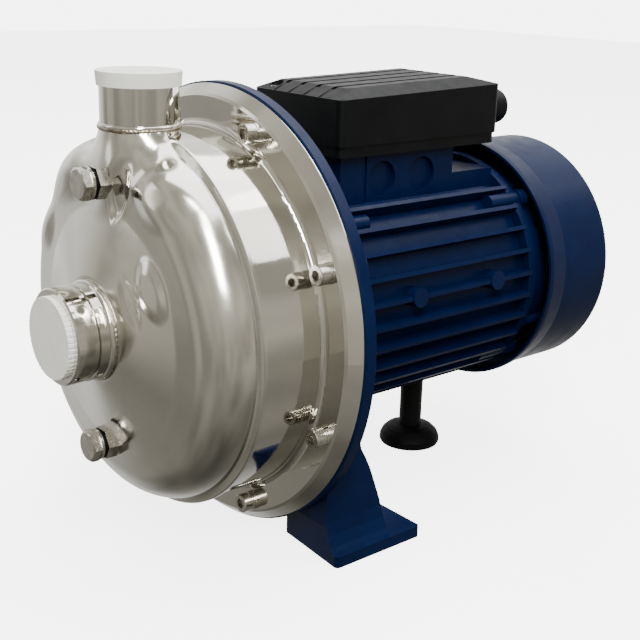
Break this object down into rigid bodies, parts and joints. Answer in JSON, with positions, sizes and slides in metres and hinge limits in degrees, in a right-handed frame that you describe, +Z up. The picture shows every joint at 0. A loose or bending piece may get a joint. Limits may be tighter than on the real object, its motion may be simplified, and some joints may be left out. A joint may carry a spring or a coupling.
{
  "type": "centrifugal water pump",
  "caption": "Close-coupled end-suction centrifugal pump with a pressed stainless casing, finned motor, terminal box and feet",
  "frame": {"origin": "on the floor, under the middle of the pump's overall box; the shaft axis is 122 mm above it", "axes": "+Y along the shaft from the suction port to the fan, +Z up through the discharge port, +X to the right seen from the suction side"},
  "size_m": [0.238, 0.348, 0.2485],
  "materials": {
    "polished_steel": "mirror-polished stainless steel",
    "steel": "bright stainless fastener steel",
    "shaft_steel": "ground steel",
    "blue_paint": "semi-gloss navy blue paint on cast metal",
    "black_plastic": "matte black plastic",
    "rubber": "black rubber",
    "white_plastic": "white polyethylene",
    "ceramic": "ceramic",
    "carbon": "carbon graphite",
    "lamination": "electrical steel lamination",
    "copper": "enamelled copper",
    "aluminium": "die-cast aluminium",
    "grey_plastic": "grey plastic",
    "brass": "brass"
  },
  "bodies": {
    "pump_body": {"casing_bowl": "polished_steel", "casing_flange": "polished_steel", "suction_collar": "polished_steel", "discharge_stub": "polished_steel", "fill_boss": "steel", "drain_boss": "steel", "suction_guide": "polished_steel", "wear_ring": "brass", "casing_screws": "steel", "lock_washers": "steel", "casing_o_ring": "rubber", "seal_plate": "polished_steel", "seal_seat": "ceramic", "front_bearing_outer": "shaft_steel", "rear_bearing_outer": "shaft_steel", "motor_bracket": "blue_paint", "pump_foot": "blue_paint", "foot_screws": "steel", "motor_frame": "blue_paint", "end_shield_screws": "steel", "stator_core": "lamination", "stator_windings": "copper", "rear_end_shield": "blue_paint", "wave_washer": "shaft_steel", "fan_cover": "blue_paint", "fan_cover_screws": "steel", "motor_foot_stem": "black_plastic", "motor_foot": "rubber", "terminal_box_base": "black_plastic", "terminal_box_cover": "black_plastic", "terminal_cover_screws": "shaft_steel", "terminal_box_gasket": "rubber", "terminal_block": "grey_plastic", "run_capacitor": "aluminium", "cable_gland": "black_plastic", "gland_seal": "rubber", "gland_nut": "black_plastic"},
    "rotor": {"shaft": "shaft_steel", "rotor_core": "lamination", "impeller": "polished_steel", "impeller_nut": "steel", "impeller_washer": "steel", "impeller_key": "shaft_steel", "seal_head": "carbon", "seal_spring": "steel", "water_slinger": "rubber", "cooling_fan": "grey_plastic", "fan_circlip": "shaft_steel", "front_bearing_inner": "shaft_steel", "rear_bearing_inner": "shaft_steel"},
    "front_ball_set": {"front_bearing_balls": "shaft_steel", "front_bearing_cage": "brass"},
    "rear_ball_set": {"rear_bearing_balls": "shaft_steel", "rear_bearing_cage": "brass"},
    "fill_seal": {"fill_o_ring": "rubber"},
    "fill_plug": {"fill_plug": "steel"},
    "drain_seal": {"drain_o_ring": "rubber"},
    "drain_plug": {"drain_plug": "steel"},
    "suction_cap": {"suction_cap": "white_plastic"},
    "discharge_cap": {"discharge_cap": "white_plastic"}
  },
  "joints": [
    {"name": "rotor_spin", "type": "hinge", "parent": "pump_body", "child": "rotor", "pos_m": [0, -0.073, 0.122], "axis": [0, 1, 0], "continuous": true},
    {"name": "front_balls_roll", "type": "hinge", "parent": "pump_body", "child": "front_ball_set", "pos_m": [0, -0.042, 0.122], "axis": [0, 1, 0], "continuous": true},
    {"name": "rear_balls_roll", "type": "hinge", "parent": "pump_body", "child": "rear_ball_set", "pos_m": [0, 0.111, 0.122], "axis": [0, 1, 0], "continuous": true},
    {"name": "fill_seal_lift", "type": "slide", "parent": "pump_body", "child": "fill_seal", "axis": [0, -1, 0], "range_m": [0, 0.00802]},
    {"name": "fill_plug_turn", "type": "hinge", "parent": "fill_seal", "child": "fill_plug", "pos_m": [0, -0.148, 0.196], "axis": [0, -1, 0], "range_deg": [0, 2160]},
    {"name": "drain_seal_lift", "type": "slide", "parent": "pump_body", "child": "drain_seal", "axis": [0, -1, 0], "range_m": [0, 0.00802]},
    {"name": "drain_plug_turn", "type": "hinge", "parent": "drain_seal", "child": "drain_plug", "pos_m": [0, -0.148, 0.06], "axis": [0, -1, 0], "range_deg": [0, 2160]},
    {"name": "suction_cap_pull", "type": "slide", "parent": "pump_body", "child": "suction_cap", "axis": [0, -1, 0], "range_m": [0, 0.06]},
    {"name": "discharge_cap_pull", "type": "slide", "parent": "pump_body", "child": "discharge_cap", "axis": [0, 0, 1], "range_m": [0, 0.06]}
  ],
  "couplings": [
    {"joint": "front_balls_roll", "follows": "rotor_spin", "ratio": 0.3836},
    {"joint": "rear_balls_roll", "follows": "rotor_spin", "ratio": 0.3842},
    {"joint": "fill_plug_turn", "follows": "fill_seal_lift", "rad_per_m": 4699.5},
    {"joint": "drain_plug_turn", "follows": "drain_seal_lift", "rad_per_m": 4699.5}
  ]
}
